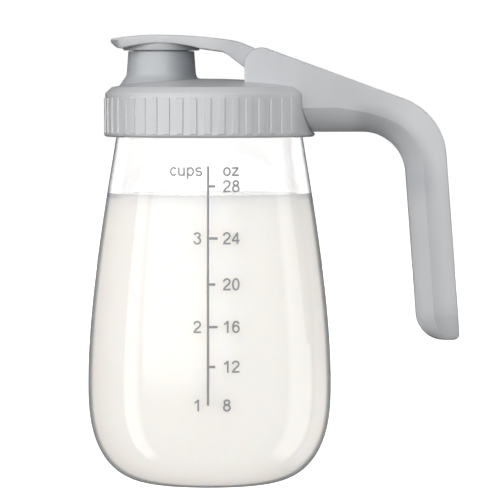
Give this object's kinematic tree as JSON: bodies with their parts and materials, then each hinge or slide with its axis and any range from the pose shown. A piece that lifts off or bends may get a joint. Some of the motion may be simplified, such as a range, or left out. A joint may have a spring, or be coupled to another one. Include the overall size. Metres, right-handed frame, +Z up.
{
  "type": "detergent dispenser bottle",
  "caption": "Bellied glass jar with a grey screw-on pouring lid, a hinged flip cap over its spout and a downward side handle, for liquid laundry detergent.",
  "frame": {"origin": "on the jar's axis, in the plane of its flat foot", "axes": "+Z up along the jar's axis, +X towards the handle, -X towards the spout, +Y completes the right-handed frame along the hinge pin"},
  "size_m": [0.1558, 0.1022, 0.1882],
  "materials": {
    "glass": "clear, smooth",
    "grey_plastic": "satin moulded",
    "light_grey_plastic": "satin moulded",
    "silicone": "matt silicone",
    "steel": "plain turned",
    "detergent": "milky liquid",
    "print": "screen-printed ink"
  },
  "bodies": {
    "jar": {"jar": "glass"},
    "gasket": {"lid_gasket": "silicone"},
    "lid": {"lid": "grey_plastic", "handle_shell": "light_grey_plastic", "handle_cover": "light_grey_plastic", "handle_screws": "steel", "hinge_pin": "steel"},
    "flip_cap": {"flip_cap": "light_grey_plastic", "spout_cover": "grey_plastic", "spout_stopper": "silicone"}
  },
  "joints": [
    {"name": "lid_lift", "type": "slide", "parent": "jar", "child": "gasket", "axis": [0, 0, 1], "range_m": [0, 0.00625]},
    {"name": "lid_turn", "type": "hinge", "parent": "gasket", "child": "lid", "pos_m": [0, 0, 0.1632], "axis": [0, 0, 1], "range_deg": [0, 450]},
    {"name": "flip_cap_hinge", "type": "hinge", "parent": "lid", "child": "flip_cap", "pos_m": [0.0218, 0, 0.1757], "axis": [0, 1, 0], "range_deg": [0, 95]}
  ],
  "couplings": [
    {"joint": "lid_lift", "follows": "lid_turn", "m_per_rad": 0.00079577}
  ]
}
